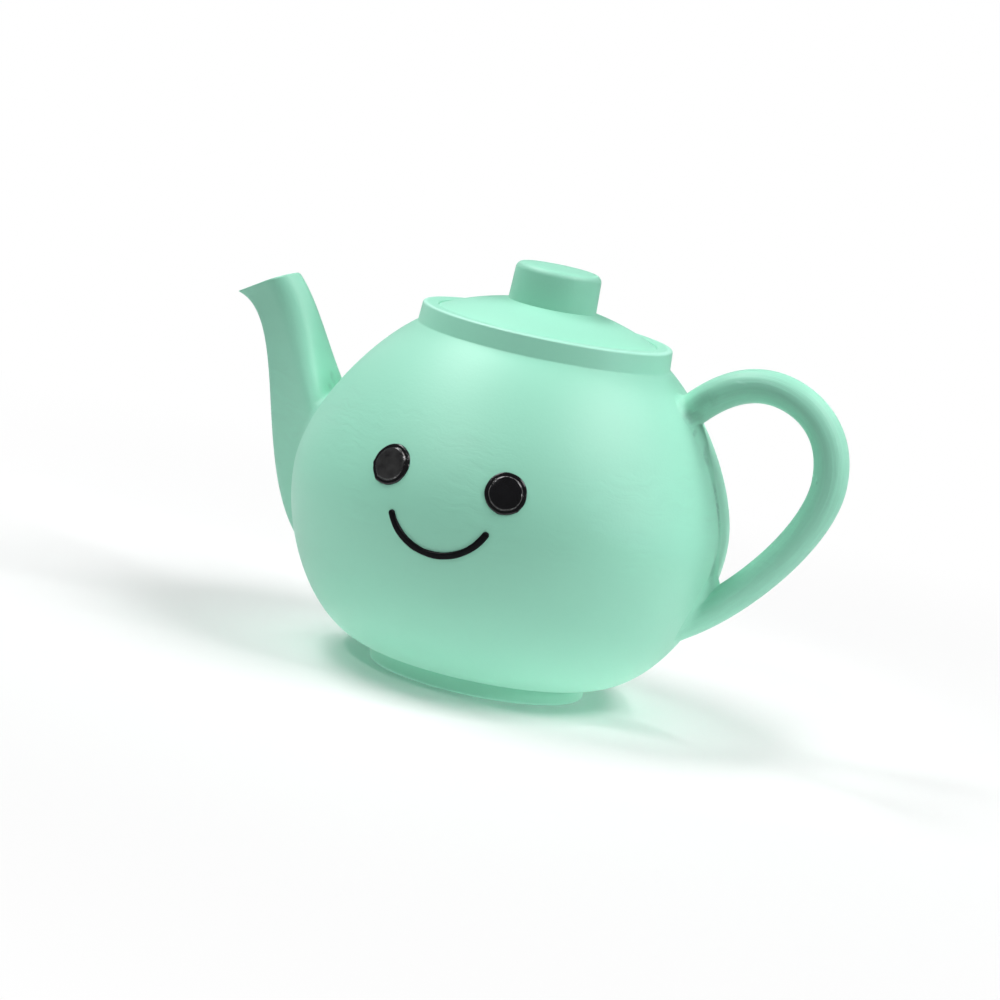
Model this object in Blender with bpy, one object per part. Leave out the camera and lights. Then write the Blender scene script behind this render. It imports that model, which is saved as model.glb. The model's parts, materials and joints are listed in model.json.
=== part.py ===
"""A hollow latex teapot dog toy with a reed squeaker in its base.

Metres, +Z up. The spout points to -X, the handle to +X, the face to -Y, and the foot stands on z = 0.
The origin is under the middle of the overall length, and everything hangs on the empty at the pot's axis.
"""

import math

import bmesh
import bpy
from mathutils import Matrix, Vector
from mathutils.geometry import interpolate_bezier

# Walls and clearances
WALL = 0.0025
BOND_GAP = 0.0003
FIT_GAP = 0.0003

# Reach of the spout and of the handle from the pot's axis
SPOUT_REACH = 0.0744
HANDLE_REACH = 0.0741

# Pot, turned about its axis; each pull is the length of a curve handle
BELLY_RADIUS = 0.0492
BELLY_HEIGHT = 0.0397
FOOT_RADIUS = 0.0244
FOOT_HEIGHT = 0.0037
FOOT_EDGE_ROUND = 0.0007
NECK_RADIUS = 0.0280
NECK_HEIGHT = 0.0766
UNDERSIDE_PULL = 0.0138
BELLY_PULL_DOWN = 0.0157
BELLY_PULL_UP = 0.0125
NECK_PULL = 0.0120
NECK_SLOPE = math.radians(35.5)
FLOOR_HEIGHT = 0.0038

# Collar round the lid's seat
COLLAR_RADIUS = 0.0285
COLLAR_TAPER = 0.0003
COLLAR_HEIGHT = 0.0042
COLLAR_EDGE_ROUND = 0.0006
COLLAR_RIM = 0.0036
LID_LEDGE = 0.0026
LID_LEDGE_DEPTH = 0.0030

# Lid with its knob
LID_EDGE_HEIGHT = 0.0023
LID_DOME_RISE = 0.0056
KNOB_RADIUS = 0.0099
KNOB_TAPER = 0.0003
KNOB_HEIGHT = 0.0084
KNOB_CROWN = 0.0005
KNOB_EDGE_ROUND = 0.0014

# Spout: its front and rear lines lie in the X-Z plane, from inside the pot up to the mouth
SPOUT_FRONT_ROOT = (-0.0380, 0.0130)
SPOUT_FRONT_PULL = 0.0275
SPOUT_FRONT_SLOPE = math.radians(11.2)
SPOUT_BEAK_HEIGHT = 0.0714
SPOUT_BEAK_PULL = 0.0167
SPOUT_BEAK_SLOPE = math.radians(9.4)
SPOUT_REAR_ROOT = (-0.0380, 0.0463)
SPOUT_REAR_PULL = 0.0124
SPOUT_REAR_SLOPE = math.radians(25.9)
SPOUT_MOUTH_LENGTH = 0.0127
SPOUT_MOUTH_RISE = 0.0070
SPOUT_MOUTH_PULL = 0.0125
SPOUT_MOUTH_SLOPE = math.radians(39.9)
SPOUT_ROOT_HALF_WIDTH = 0.0160
SPOUT_MOUTH_HALF_WIDTH = 0.0076
SPOUT_REAR_BULGE = 0.0008
SPOUT_ROOT_ROUND = 0.0045
SPOUT_BEAK_ROUND = 0.0008
SPOUT_RIDGE_ROUND = 0.0020

# Handle: a round bar from the shoulder to the lower belly, with a strap along the pot between its roots
HANDLE_RADIUS = 0.00375
HANDLE_TOP_ROOT = (0.0340, 0.0670)
HANDLE_TOP_SLOPE = math.radians(51.0)
HANDLE_TOP_PULL = 0.0067
HANDLE_CREST = (0.0532, 0.0789)
HANDLE_CREST_PULL_IN = 0.0089
HANDLE_CREST_PULL_OUT = 0.0063
HANDLE_BEND_HEIGHT = 0.0613
HANDLE_BEND_PULL_UP = 0.0132
HANDLE_BEND_PULL_DOWN = 0.0121
HANDLE_LOW_ROOT = (0.0420, 0.0225)
HANDLE_LOW_SLOPE = math.radians(29.3)
HANDLE_LOW_PULL = 0.0144
STRAP_ROOT_HALF_WIDTH = 0.0038
STRAP_WAIST_HALF_WIDTH = 0.0016
STRAP_RAISE = 0.0012
STRAP_TOP_HEIGHT = 0.0695
STRAP_LOW_HEIGHT = 0.0285
STRAP_EDGE_ROUND = 0.0006

# Face, laid on the pot; azimuths are measured from -Y
EYE_RADIUS = 0.0045
EYE_AZIMUTH = math.radians(16.2)
EYE_HEIGHT = 0.0490
EYE_RAISE = 0.0006
EYE_RIM_WIDTH = 0.0008
EYE_GROOVE_WIDTH = 0.0003
EYE_GROOVE_DEPTH = 0.0003
MOUTH_RADIUS = 0.0120
MOUTH_AZIMUTH = math.radians(0.8)
MOUTH_CENTRE_HEIGHT = 0.0447
MOUTH_HALF_ANGLE = math.radians(63.0)
MOUTH_WIDTH = 0.0016
MOUTH_RAISE = 0.0005

# Squeaker, a plastic whistle held in the base by its groove
SQUEAKER_RADIUS = 0.0070
SQUEAKER_WALL = 0.0012
SQUEAKER_HEIGHT = 0.0124
FLANGE_WIDTH = 0.0022
FLANGE_THICKNESS = 0.0010
GROUND_CLEARANCE = 0.0004
RETAINING_BEAD = 0.0009
AIR_HOLE_RADIUS = 0.0018
CAP_THICKNESS = 0.0010
CAP_LEDGE = 0.0006
CAP_VENT_RADIUS = 0.0009
CAP_VENT_COUNT = 6
REED_THICKNESS = 0.0003
REED_HALF_WIDTH = 0.0022
REED_END_GAP = 0.0005
CLAMP_LENGTH = 0.0032
LAY_DROP = 0.0006
CHANNEL_HALF_WIDTH = 0.0014
CHANNEL_DEPTH = 0.0020
CHANNEL_STOP = 0.0008

# Facets
TURN_STEPS = 56
SMALL_TURN_STEPS = 28
OUTLINE_POINTS = 11
FINE_OUTLINE_POINTS = 120
INNER_STRIDE = 2
SPOUT_SECTIONS = 13
HANDLE_SECTIONS = 10
HANDLE_SIDES = 16
MOUTH_SECTIONS = 20
ROUND_POINTS = 3
CUTTER_MARGIN = 0.0020
MERGE_DISTANCE = 1e-6

# Places worked out from the sizes above
AXIS_X = (SPOUT_REACH - HANDLE_REACH) / 2
COLLAR_TOP = NECK_HEIGHT + COLLAR_HEIGHT
COLLAR_BORE = COLLAR_RADIUS - COLLAR_TAPER - COLLAR_RIM
LEDGE_HEIGHT = COLLAR_TOP - LID_LEDGE_DEPTH
LID_SEAT = LEDGE_HEIGHT + BOND_GAP
LID_RADIUS = COLLAR_BORE - BOND_GAP
FLANGE_RADIUS = SQUEAKER_RADIUS + FLANGE_WIDTH
RECESS_HEIGHT = GROUND_CLEARANCE + FLANGE_THICKNESS + FIT_GAP
SQUEAKER_BORE = SQUEAKER_RADIUS - SQUEAKER_WALL
CAP_BORE = SQUEAKER_BORE + CAP_LEDGE
SQUEAKER_TOP = GROUND_CLEARANCE + SQUEAKER_HEIGHT
CAP_LEDGE_HEIGHT = SQUEAKER_TOP - CAP_THICKNESS - FIT_GAP
REED_UNIT_LOW = GROUND_CLEARANCE + SQUEAKER_WALL + FIT_GAP
REED_UNIT_TOP = CAP_LEDGE_HEIGHT
REED_UNIT_RADIUS = SQUEAKER_BORE - FIT_GAP
CLAMP_FACE = REED_THICKNESS / 2 + FIT_GAP
HINGE_HEIGHT = REED_UNIT_TOP - CLAMP_LENGTH


def clear_scene():
    for obj in list(bpy.data.objects):
        bpy.data.objects.remove(obj, do_unlink=True)


def empty(name, location, parent=None):
    obj = bpy.data.objects.new(name, None)
    obj.location = location
    obj.parent = parent
    bpy.context.scene.collection.objects.link(obj)
    return obj


def material(name, colour, roughness):
    made = bpy.data.materials.new(name)
    made.use_nodes = True
    shader = made.node_tree.nodes["Principled BSDF"]
    shader.inputs["Base Color"].default_value = (*colour, 1.0)
    shader.inputs["Roughness"].default_value = roughness
    shader.inputs["Metallic"].default_value = 0.0
    return made


def solid(name, bm, parent, finish=None):
    """One object from a finished bmesh, with its round faces smooth and its edges sharp."""
    bmesh.ops.remove_doubles(bm, verts=bm.verts, dist=MERGE_DISTANCE)
    bmesh.ops.dissolve_degenerate(bm, edges=bm.edges, dist=MERGE_DISTANCE)
    on_axis = [edge for edge in bm.edges if edge.is_wire]
    bmesh.ops.delete(bm, geom=on_axis, context="EDGES")
    bmesh.ops.recalc_face_normals(bm, faces=bm.faces)
    mesh = bpy.data.meshes.new(name)
    bm.to_mesh(mesh)
    bm.free()
    mesh.shade_smooth()
    mesh.set_sharp_from_angle(angle=math.radians(35))
    obj = bpy.data.objects.new(name, mesh)
    obj.parent = parent
    bpy.context.scene.collection.objects.link(obj)
    if finish:
        mesh.materials.append(finish)
    else:
        obj.hide_render = True
        obj.display_type = "WIRE"
    return obj


def boolean(obj, operation, other):
    modifier = obj.modifiers.new(f"{operation.lower()} {other.name}", "BOOLEAN")
    modifier.operation = operation
    modifier.solver = "EXACT"
    modifier.object = other


def bezier(start, start_handle, end_handle, end, count):
    """Points (x, z) along one curve stretch."""
    corners = [Vector((x, z)).to_3d() for x, z in (start, start_handle, end_handle, end)]
    return [point.to_2d() for point in interpolate_bezier(*corners, count)]


def from_angle(point, angle, length):
    """The point that lies a length away at an angle above +X."""
    return (point[0] + length * math.cos(angle), point[1] + length * math.sin(angle))


def round_corner(before, corner, after, radius):
    """The arc of a given radius that takes the place of a corner."""
    corner = Vector(corner)
    back = (Vector(before) - corner).normalized()
    ahead = (Vector(after) - corner).normalized()
    turn = back.angle(ahead)
    reach = radius / math.tan(turn / 2)
    pull = reach - 4 / 3 * math.tan((math.pi - turn) / 4) * radius
    return bezier(
        corner + back * reach,
        corner + back * pull,
        corner + ahead * pull,
        corner + ahead * reach,
        ROUND_POINTS,
    )


def rounded(corners, radii):
    """A closed outline in which each corner with a radius becomes an arc."""
    outline = []
    for index, radius in enumerate(radii):
        corner = corners[index]
        after = corners[(index + 1) % len(corners)]
        if radius:
            outline += round_corner(corners[index - 1], corner, after, radius)
        else:
            outline.append(Vector(corner))
    return outline


def turned(name, outline, parent, finish=None, steps=TURN_STEPS, closed=True):
    """An outline of (radius, height) pairs spun about the parent's Z axis."""
    bm = bmesh.new()
    verts = [bm.verts.new((radius, 0.0, height)) for radius, height in outline]
    ends = verts[1:] + verts[:1] if closed else verts[1:]
    edges = [bm.edges.new(pair) for pair in zip(verts, ends)]
    bmesh.ops.spin(
        bm,
        geom=verts + edges,
        cent=(0, 0, 0),
        axis=(0, 0, 1),
        angle=2 * math.pi,
        steps=steps,
        use_merge=True,
    )
    return solid(name, bm, parent, finish)


def lofted(name, sections, parent, finish=None):
    """A closed skin over a row of rings that have the same number of points."""
    bm = bmesh.new()
    rings = [[bm.verts.new(point) for point in section] for section in sections]
    for ring, above in zip(rings, rings[1:]):
        for index in range(len(ring)):
            bm.faces.new((ring[index - 1], ring[index], above[index], above[index - 1]))
    bm.faces.new(rings[0])
    bm.faces.new(rings[-1])
    return solid(name, bm, parent, finish)


def pot_outline(count=OUTLINE_POINTS):
    """The pot's side from the foot's shoulder up to the neck."""
    shoulder = (FOOT_RADIUS, FOOT_HEIGHT)
    belly = (BELLY_RADIUS, BELLY_HEIGHT)
    neck = (NECK_RADIUS, NECK_HEIGHT)
    below = (BELLY_RADIUS, BELLY_HEIGHT - BELLY_PULL_DOWN)
    above = (BELLY_RADIUS, BELLY_HEIGHT + BELLY_PULL_UP)
    lower = bezier(shoulder, from_angle(shoulder, 0.0, UNDERSIDE_PULL), below, belly, count)
    upper = bezier(belly, above, from_angle(neck, -NECK_SLOPE, NECK_PULL), neck, count)
    return lower + upper[1:]


def outward_normals(outline):
    normals = []
    for index in range(len(outline)):
        run = outline[min(index + 1, len(outline) - 1)] - outline[max(index - 1, 0)]
        normals.append(Vector((run.y, -run.x)).normalized())
    return normals


def offset_outline(outline, distance):
    return [point + normal * distance for point, normal in zip(outline, outward_normals(outline))]


def laid_on_pot(obj, azimuth, height):
    """Wraps a flat piece, modelled in X-Y with its thickness along Z, onto the pot's skin."""
    outline = pot_outline(FINE_OUTLINE_POINTS)
    normals = outward_normals(outline)

    def nearest(level):
        return min(range(len(outline)), key=lambda index: abs(outline[index].y - level))

    lean = normals[nearest(height)].x
    for vertex in obj.data.vertices:
        across, along, lift = vertex.co
        level = height + along * lean
        index = nearest(level)
        radius = outline[index].x + normals[index].x * lift
        angle = azimuth + across / outline[index].x
        level += normals[index].y * lift
        vertex.co = (radius * math.sin(angle), -radius * math.cos(angle), level)
    return obj


def pot_core(name, parent, skin):
    """The pot as a full solid, grown by a skin, to cut what is bonded to it."""
    side = offset_outline(pot_outline(), skin)
    outline = [(0.0, side[0].y), *side, (0.0, side[-1].y)]
    return turned(name, outline, parent, closed=False)


def make_pot_shell(parent, finish):
    outside = pot_outline()
    inside = offset_outline(outside, -WALL)[::-1]
    lip_low = LEDGE_HEIGHT - WALL
    inside = [point for point in inside if FLOOR_HEIGHT + WALL < point.y < lip_low - WALL][::INNER_STRIDE]
    collar = rounded(
        [
            (NECK_RADIUS, NECK_HEIGHT),
            (COLLAR_RADIUS, NECK_HEIGHT),
            (COLLAR_RADIUS - COLLAR_TAPER, COLLAR_TOP),
            (COLLAR_BORE, COLLAR_TOP),
            (COLLAR_BORE, LEDGE_HEIGHT),
            (COLLAR_BORE - LID_LEDGE, LEDGE_HEIGHT),
            (COLLAR_BORE - LID_LEDGE, lip_low),
        ],
        [0.0, 0.0, COLLAR_EDGE_ROUND, COLLAR_EDGE_ROUND, 0.0, 0.0, 0.0],
    )
    hole = SQUEAKER_RADIUS + FIT_GAP
    recess = FLANGE_RADIUS + FIT_GAP
    base = rounded(
        [
            (FOOT_RADIUS - WALL, FLOOR_HEIGHT),
            (hole, FLOOR_HEIGHT),
            (hole, RECESS_HEIGHT),
            (recess, RECESS_HEIGHT),
            (recess, 0.0),
            (FOOT_RADIUS, 0.0),
        ],
        [0.0, 0.0, 0.0, 0.0, 0.0, FOOT_EDGE_ROUND],
    )
    return turned("pot_shell", [*outside[:-1], *collar, *inside, *base], parent, finish)


def make_lid(parent, finish):
    """A shallow dome with a hollow knob, made from its seat upwards."""
    dome_top = LID_EDGE_HEIGHT + LID_DOME_RISE
    dome_radius = (LID_RADIUS**2 + LID_DOME_RISE**2) / (2 * LID_DOME_RISE)

    def dome(radius, depth=0.0):
        return (radius, dome_top - dome_radius + math.sqrt((dome_radius - depth) ** 2 - radius**2))

    knob_top = dome(KNOB_RADIUS)[1] + KNOB_HEIGHT
    knob_top_radius = KNOB_RADIUS - KNOB_TAPER
    bore = KNOB_RADIUS - WALL
    edge_inside = LID_RADIUS - WALL
    span = LID_RADIUS - KNOB_RADIUS
    inner_span = edge_inside - bore
    shares = (0.0, 0.25, 0.5, 0.75, 1.0)
    outline = [(LID_RADIUS, 0.0)]
    outline += [dome(LID_RADIUS - span * share) for share in shares]
    crown = (0.0, knob_top + KNOB_CROWN)
    outline += round_corner(outline[-1], (knob_top_radius, knob_top), crown, KNOB_EDGE_ROUND)
    outline += [(knob_top_radius / 2, knob_top + KNOB_CROWN * 3 / 4), crown]
    outline += [(0.0, knob_top - WALL), (bore, knob_top - WALL)]
    outline += [dome(bore + inner_span * share, WALL) for share in shares]
    outline += [(edge_inside, 0.0), (LID_RADIUS, 0.0)]
    lid = turned("lid", outline, parent, finish, closed=False)
    lid.location = (0.0, 0.0, LID_SEAT)
    return lid


def spout_lines(count):
    """The front and the rear line of the spout, from its root to its mouth."""
    beak = (-SPOUT_REACH, SPOUT_BEAK_HEIGHT)
    rear = (beak[0] + SPOUT_MOUTH_LENGTH, beak[1] + SPOUT_MOUTH_RISE)
    front_line = bezier(
        SPOUT_FRONT_ROOT,
        from_angle(SPOUT_FRONT_ROOT, math.pi - SPOUT_FRONT_SLOPE, SPOUT_FRONT_PULL),
        from_angle(beak, -SPOUT_BEAK_SLOPE, SPOUT_BEAK_PULL),
        beak,
        count,
    )
    rear_line = bezier(
        SPOUT_REAR_ROOT,
        from_angle(SPOUT_REAR_ROOT, math.pi - SPOUT_REAR_SLOPE, SPOUT_REAR_PULL),
        from_angle(rear, -SPOUT_MOUTH_SLOPE, SPOUT_MOUTH_PULL),
        rear,
        count,
    )
    return front_line, rear_line


def spout_sections(inset, count, last):
    """Rounded triangles between the two lines: a nose in front, a ridge on each side and a full back."""
    sections = []
    for index, (front, rear) in enumerate(zip(*spout_lines(count))):
        share = index / (count - 1)
        run = rear - front
        width = SPOUT_MOUTH_HALF_WIDTH + (SPOUT_ROOT_HALF_WIDTH - SPOUT_MOUTH_HALF_WIDTH) * (1 - share) ** 2
        half_angle = math.atan2(width, run.length)
        nose_round = SPOUT_ROOT_ROUND + (SPOUT_BEAK_ROUND - SPOUT_ROOT_ROUND) * share
        nose_cut = nose_round * (1 / math.sin(half_angle) - 1)
        start = inset / math.sin(half_angle) - (0.0 if inset else nose_cut)
        end = run.length - inset
        side = (end - start) * math.tan(half_angle) if inset else width
        outline = rounded(
            [(start, 0.0), (end, -side), (end + SPOUT_REAR_BULGE, 0.0), (end, side)],
            [nose_round, SPOUT_RIDGE_ROUND, 0.0, SPOUT_RIDGE_ROUND],
        )
        along = run.normalized()
        places = [(front + along * point.x, point.y) for point in outline]
        sections.append([Vector((place.x, across, place.y)) for place, across in places])
    return sections[:last]


def make_spout(parent, finish, core):
    """The spout's shell, and the cavity that also opens the pot's wall behind it."""
    outer = spout_sections(0.0, SPOUT_SECTIONS, SPOUT_SECTIONS)
    cavity_sections = spout_sections(WALL, SPOUT_SECTIONS, SPOUT_SECTIONS - 2)
    spout = lofted("spout", outer, parent, finish)
    cavity = lofted("spout_cavity", cavity_sections, parent)
    boolean(spout, "DIFFERENCE", cavity)
    boolean(spout, "DIFFERENCE", core)
    return spout, cavity


def handle_path():
    bend = (HANDLE_REACH - HANDLE_RADIUS, HANDLE_BEND_HEIGHT)
    rise = bezier(
        HANDLE_TOP_ROOT,
        from_angle(HANDLE_TOP_ROOT, HANDLE_TOP_SLOPE, HANDLE_TOP_PULL),
        from_angle(HANDLE_CREST, math.pi, HANDLE_CREST_PULL_IN),
        HANDLE_CREST,
        HANDLE_SECTIONS,
    )
    turn = bezier(
        HANDLE_CREST,
        from_angle(HANDLE_CREST, 0.0, HANDLE_CREST_PULL_OUT),
        from_angle(bend, math.pi / 2, HANDLE_BEND_PULL_UP),
        bend,
        HANDLE_SECTIONS,
    )
    fall = bezier(
        bend,
        from_angle(bend, -math.pi / 2, HANDLE_BEND_PULL_DOWN),
        from_angle(HANDLE_LOW_ROOT, HANDLE_LOW_SLOPE, HANDLE_LOW_PULL),
        HANDLE_LOW_ROOT,
        HANDLE_SECTIONS,
    )
    return rise + turn[1:] + fall[1:]


def ring(centre, normal, outline):
    """A section square to a path in the X-Z plane, from pairs (along the normal, along Y)."""
    return [Vector((centre.x + normal.x * out, across, centre.y + normal.y * out)) for out, across in outline]


def make_handle(parent, finish, core):
    path = handle_path()
    turns = [2 * math.pi * index / HANDLE_SIDES for index in range(HANDLE_SIDES)]
    circle = [(HANDLE_RADIUS * math.cos(turn), HANDLE_RADIUS * math.sin(turn)) for turn in turns]
    sections = [ring(point, normal, circle) for point, normal in zip(path, outward_normals(path))]
    handle = lofted("handle", sections, parent, finish)

    outline = pot_outline()
    middle = (STRAP_LOW_HEIGHT + STRAP_TOP_HEIGHT) / 2
    low = -CUTTER_MARGIN
    strap_sections = []
    for point, normal in zip(outline, outward_normals(outline)):
        if not STRAP_LOW_HEIGHT < point.y < STRAP_TOP_HEIGHT:
            continue
        flare = ((point.y - middle) / (STRAP_TOP_HEIGHT - middle)) ** 2
        half = STRAP_WAIST_HALF_WIDTH + (STRAP_ROOT_HALF_WIDTH - STRAP_WAIST_HALF_WIDTH) * flare
        section = rounded(
            [(low, -half), (STRAP_RAISE, -half), (STRAP_RAISE, half), (low, half)],
            [0.0, STRAP_EDGE_ROUND, STRAP_EDGE_ROUND, 0.0],
        )
        strap_sections.append(ring(point, normal, section))
    strap = lofted("handle_strap", strap_sections, parent)
    boolean(handle, "UNION", strap)
    boolean(handle, "DIFFERENCE", core)
    return handle


def make_eye(name, azimuth, parent, finish):
    low = BOND_GAP
    top = low + EYE_RAISE
    groove_outer = EYE_RADIUS - EYE_RIM_WIDTH
    groove_inner = groove_outer - EYE_GROOVE_WIDTH
    outline = [
        (0.0, low),
        (EYE_RADIUS, low),
        (EYE_RADIUS, top - EYE_GROOVE_DEPTH / 2),
        (EYE_RADIUS - EYE_GROOVE_DEPTH / 2, top),
        (groove_outer, top),
        (groove_outer, top - EYE_GROOVE_DEPTH),
        (groove_inner, top - EYE_GROOVE_DEPTH),
        (groove_inner, top),
        (groove_inner / 2, top),
        (0.0, top),
    ]
    eye = turned(name, outline, parent, finish, steps=SMALL_TURN_STEPS, closed=False)
    return laid_on_pot(eye, azimuth, EYE_HEIGHT)


def make_mouth(parent, finish):
    """An arc of constant width with round ends and a round top."""
    low = BOND_GAP
    half = MOUTH_WIDTH / 2
    cap = half / MOUTH_RADIUS
    sections = []
    for index in range(MOUTH_SECTIONS + 1):
        slide = math.cos(math.pi * index / MOUTH_SECTIONS)
        angle = -math.pi / 2 - slide * (MOUTH_HALF_ANGLE + cap)
        past = max(0.0, abs(angle + math.pi / 2) - MOUTH_HALF_ANGLE) / cap
        spread = half * math.sqrt(max(0.02, 1 - past**2))
        section = [(-spread, low), (-spread, low + MOUTH_RAISE / 2), (0.0, low + MOUTH_RAISE)]
        section += [(spread, low + MOUTH_RAISE / 2), (spread, low)]
        ring_points = []
        for out, lift in section:
            radius = MOUTH_RADIUS + out
            ring_points.append(Vector((radius * math.cos(angle), radius * math.sin(angle), lift)))
        sections.append(ring_points)
    mouth = lofted("mouth", sections, parent, finish)
    return laid_on_pot(mouth, MOUTH_AZIMUTH, MOUTH_CENTRE_HEIGHT)


def make_squeaker_housing(parent, finish):
    """A turned cup: a flange under the base, a bead over it, a bore for the reed and a ledge for the cap."""
    flange_top = GROUND_CLEARANCE + FLANGE_THICKNESS
    bead_low = FLOOR_HEIGHT + FIT_GAP
    outline = [
        (AIR_HOLE_RADIUS, GROUND_CLEARANCE),
        (FLANGE_RADIUS, GROUND_CLEARANCE),
        (FLANGE_RADIUS, flange_top),
        (SQUEAKER_RADIUS, flange_top),
        (SQUEAKER_RADIUS, bead_low),
        (SQUEAKER_RADIUS + RETAINING_BEAD, bead_low),
        (SQUEAKER_RADIUS, bead_low + 2 * RETAINING_BEAD),
        (SQUEAKER_RADIUS, SQUEAKER_TOP),
        (CAP_BORE, SQUEAKER_TOP),
        (CAP_BORE, CAP_LEDGE_HEIGHT),
        (SQUEAKER_BORE, CAP_LEDGE_HEIGHT),
        (SQUEAKER_BORE, GROUND_CLEARANCE + SQUEAKER_WALL),
        (AIR_HOLE_RADIUS, GROUND_CLEARANCE + SQUEAKER_WALL),
    ]
    return turned("squeaker_housing", outline, parent, finish, steps=SMALL_TURN_STEPS)


def upright_cylinder(name, radius, low, top, parent, finish=None, at=(0.0, 0.0)):
    bm = bmesh.new()
    bmesh.ops.create_cone(
        bm,
        cap_ends=True,
        segments=SMALL_TURN_STEPS,
        radius1=radius,
        radius2=radius,
        depth=top - low,
        matrix=Matrix.Translation((*at, (low + top) / 2)),
    )
    return solid(name, bm, parent, finish)


def block(name, low, high, parent, finish=None):
    bm = bmesh.new()
    size = Vector(high) - Vector(low)
    middle = (Vector(high) + Vector(low)) / 2
    bmesh.ops.create_cube(bm, size=1.0, matrix=Matrix.Translation(middle) @ Matrix.Diagonal((*size, 1.0)))
    return solid(name, bm, parent, finish)


def make_squeaker_cap(parent, finish):
    low = CAP_LEDGE_HEIGHT + FIT_GAP
    cap = upright_cylinder("squeaker_cap", CAP_BORE - FIT_GAP, low, low + CAP_THICKNESS, parent, finish)
    for index in range(CAP_VENT_COUNT):
        turn = 2 * math.pi * index / CAP_VENT_COUNT
        pitch = SQUEAKER_BORE * 0.6
        place = (pitch * math.cos(turn), pitch * math.sin(turn))
        vent = upright_cylinder(
            f"cap_vent_{index + 1}",
            CAP_VENT_RADIUS,
            low - CUTTER_MARGIN,
            low + CAP_THICKNESS + CUTTER_MARGIN,
            parent,
            at=place,
        )
        boolean(cap, "DIFFERENCE", vent)
    return cap


def make_reed_seat(parent, finish):
    """The half drum that the reed beats against: a clamping face, a sloping lay and an air channel."""
    seat = upright_cylinder("reed_seat", REED_UNIT_RADIUS, REED_UNIT_LOW, REED_UNIT_TOP, parent, finish)
    wide = REED_UNIT_RADIUS + CUTTER_MARGIN
    lay = [
        (-wide, REED_UNIT_LOW - CUTTER_MARGIN),
        (CLAMP_FACE + LAY_DROP, REED_UNIT_LOW - CUTTER_MARGIN),
        (CLAMP_FACE + LAY_DROP, REED_UNIT_LOW),
        (CLAMP_FACE, HINGE_HEIGHT),
        (CLAMP_FACE, REED_UNIT_TOP + CUTTER_MARGIN),
        (-wide, REED_UNIT_TOP + CUTTER_MARGIN),
    ]
    sections = [[Vector((across, y, z)) for y, z in lay] for across in (-wide, wide)]
    boolean(seat, "DIFFERENCE", lofted("reed_lay", sections, parent))
    channel = block(
        "reed_channel",
        (-CHANNEL_HALF_WIDTH, -CUTTER_MARGIN, REED_UNIT_LOW - CUTTER_MARGIN),
        (CHANNEL_HALF_WIDTH, CLAMP_FACE + CHANNEL_DEPTH, HINGE_HEIGHT - CHANNEL_STOP),
        parent,
    )
    boolean(seat, "DIFFERENCE", channel)
    return seat


def make_reed_wedge(parent, finish):
    """The half drum that clamps the reed's root to its seat."""
    wedge = upright_cylinder("reed_wedge", REED_UNIT_RADIUS, HINGE_HEIGHT, REED_UNIT_TOP, parent, finish)
    wide = REED_UNIT_RADIUS + CUTTER_MARGIN
    face = block(
        "reed_wedge_face",
        (-wide, -CLAMP_FACE, HINGE_HEIGHT - CUTTER_MARGIN),
        (wide, wide, REED_UNIT_TOP + CUTTER_MARGIN),
        parent,
    )
    boolean(wedge, "DIFFERENCE", face)
    return wedge


def make_reed(hinge, finish):
    """A flat tongue, modelled from its hinge line at the lower edge of the clamp."""
    low = REED_UNIT_LOW + REED_END_GAP - HINGE_HEIGHT
    top = REED_UNIT_TOP - REED_END_GAP - HINGE_HEIGHT
    half = REED_THICKNESS / 2
    return block("reed", (-REED_HALF_WIDTH, -half, low), (REED_HALF_WIDTH, half, top), hinge, finish)


def main():
    clear_scene()
    latex = material("mint latex", (0.352, 0.737, 0.558), 0.55)
    paint = material("black paint", (0.006, 0.006, 0.007), 0.30)
    plastic = material("white plastic", (0.80, 0.80, 0.77), 0.40)
    film = material("reed film", (0.62, 0.60, 0.52), 0.30)

    pot_axis = empty("pot_axis", (AXIS_X, 0.0, 0.0))
    core = pot_core("pot_core", pot_axis, BOND_GAP)
    pot_shell = make_pot_shell(pot_axis, latex)
    make_lid(pot_axis, latex)
    spout, cavity = make_spout(pot_axis, latex, core)
    boolean(pot_shell, "DIFFERENCE", cavity)
    make_handle(pot_axis, latex, core)
    make_eye("eye_left", -EYE_AZIMUTH, pot_axis, paint)
    make_eye("eye_right", EYE_AZIMUTH, pot_axis, paint)
    make_mouth(pot_axis, paint)

    make_squeaker_housing(pot_axis, plastic)
    make_squeaker_cap(pot_axis, plastic)
    make_reed_seat(pot_axis, plastic)
    make_reed_wedge(pot_axis, plastic)
    reed_hinge = empty("reed_hinge", (0.0, 0.0, HINGE_HEIGHT), pot_axis)
    make_reed(reed_hinge, film)


if __name__ == "__main__":
    main()
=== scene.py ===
"""Looks of a latex teapot dog toy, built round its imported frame.

Metres, +Z up, in the frame's own axes: the spout points to -X, the handle to +X and the face to -Y.
"""

import json
import math

import bmesh
import bpy
from mathutils import Matrix, Vector
from mathutils.geometry import interpolate_bezier


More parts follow.
